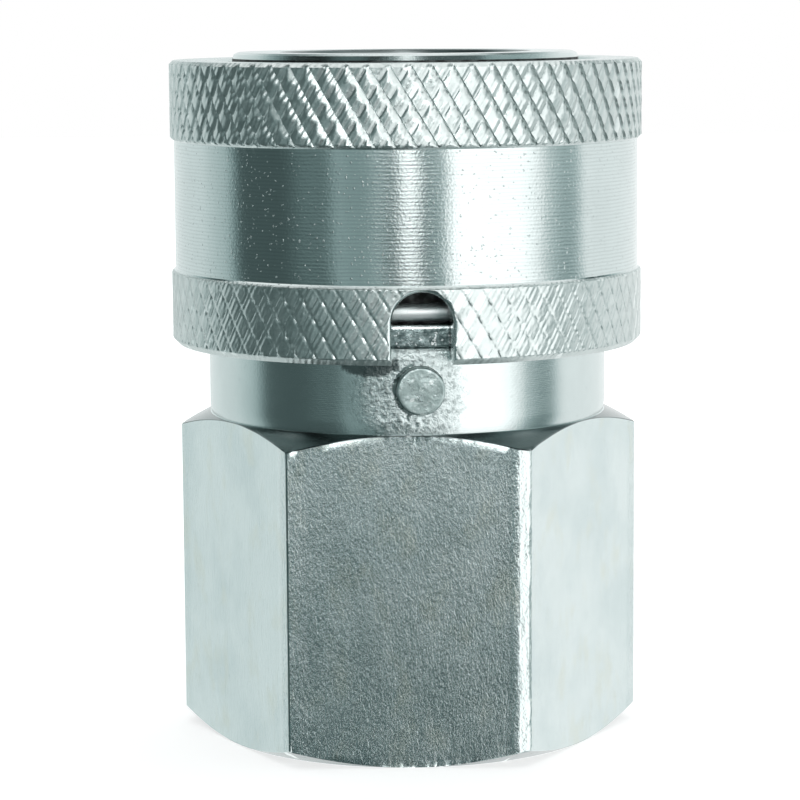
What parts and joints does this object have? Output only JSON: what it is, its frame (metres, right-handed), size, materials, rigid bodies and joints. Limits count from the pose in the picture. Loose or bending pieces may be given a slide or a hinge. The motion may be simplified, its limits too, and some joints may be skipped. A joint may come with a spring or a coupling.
{
  "type": "quick disconnect coupler",
  "caption": "Straight-through ball-lock socket with a knurled sprung sleeve, a slot and pin sleeve lock, and a hexagonal body with a female pipe thread.",
  "frame": {"origin": "centre of the threaded end face", "axes": "+Z along the bore towards the mouth that takes the nipple, a flat of the hexagon facing -Y"},
  "size_m": [0.0318, 0.0318, 0.046],
  "materials": {
    "body_nickel": "nickel plated, milled flats and turned neck",
    "sleeve_nickel": "nickel plated, knurled bands and fine turning lines",
    "spring_steel": "bright drawn wire",
    "washer_steel": "dull, rough, oily",
    "ring_steel": "drawn spring wire",
    "pin_steel": "sheared end, mottled grey",
    "seal_rubber": "smooth nitrile",
    "backup_plastic": "cut fluoropolymer",
    "ball_steel": "polished bearing ball"
  },
  "bodies": {
    "root": {"body": "body_nickel", "lock_pin": "pin_steel", "retaining_ring": "ring_steel", "o_ring": "seal_rubber", "backup_ring": "backup_plastic"},
    "spring_pack": {"spring_seat_washer": "washer_steel", "sleeve_spring": "spring_steel"},
    "sleeve_body": {"sleeve": "sleeve_nickel"},
    "ball_1_body": {"ball_1": "ball_steel"},
    "ball_2_body": {"ball_2": "ball_steel"},
    "ball_3_body": {"ball_3": "ball_steel"},
    "ball_4_body": {"ball_4": "ball_steel"},
    "ball_5_body": {"ball_5": "ball_steel"},
    "ball_6_body": {"ball_6": "ball_steel"},
    "ball_7_body": {"ball_7": "ball_steel"},
    "ball_8_body": {"ball_8": "ball_steel"}
  },
  "joints": [
    {"name": "sleeve_turn", "type": "hinge", "parent": "root", "child": "spring_pack", "pos_m": [0, 0, 0.03], "axis": [0, 0, 1], "range_deg": [-1.5, 1.5]},
    {"name": "sleeve_slide", "type": "slide", "parent": "spring_pack", "child": "sleeve_body", "axis": [0, 0, -1], "range_m": [0, 0.0045], "stiffness_N_per_m": 4000, "springref_m": -0.005, "deforming": ["sleeve_spring"]},
    {"name": "ball_1_slide", "type": "slide", "parent": "root", "child": "ball_1_body", "axis": [1, 0, 0], "range_m": [0, 0.0011]},
    {"name": "ball_2_slide", "type": "slide", "parent": "root", "child": "ball_2_body", "axis": [0.7071, 0.7071, 0], "range_m": [0, 0.0011]},
    {"name": "ball_3_slide", "type": "slide", "parent": "root", "child": "ball_3_body", "axis": [0, 1, 0], "range_m": [0, 0.0011]},
    {"name": "ball_4_slide", "type": "slide", "parent": "root", "child": "ball_4_body", "axis": [-0.7071, 0.7071, 0], "range_m": [0, 0.0011]},
    {"name": "ball_5_slide", "type": "slide", "parent": "root", "child": "ball_5_body", "axis": [-1, 0, 0], "range_m": [0, 0.0011]},
    {"name": "ball_6_slide", "type": "slide", "parent": "root", "child": "ball_6_body", "axis": [-0.7071, -0.7071, 0], "range_m": [0, 0.0011]},
    {"name": "ball_7_slide", "type": "slide", "parent": "root", "child": "ball_7_body", "axis": [0, -1, 0], "range_m": [0, 0.0011]},
    {"name": "ball_8_slide", "type": "slide", "parent": "root", "child": "ball_8_body", "axis": [0.7071, -0.7071, 0], "range_m": [0, 0.0011]}
  ],
  "couplings": [
    {"joint": "ball_1_slide", "follows": "sleeve_slide", "ratio": 0.23333},
    {"joint": "ball_2_slide", "follows": "sleeve_slide", "ratio": 0.23333},
    {"joint": "ball_3_slide", "follows": "sleeve_slide", "ratio": 0.23333},
    {"joint": "ball_4_slide", "follows": "sleeve_slide", "ratio": 0.23333},
    {"joint": "ball_5_slide", "follows": "sleeve_slide", "ratio": 0.23333},
    {"joint": "ball_6_slide", "follows": "sleeve_slide", "ratio": 0.23333},
    {"joint": "ball_7_slide", "follows": "sleeve_slide", "ratio": 0.23333},
    {"joint": "ball_8_slide", "follows": "sleeve_slide", "ratio": 0.23333}
  ]
}
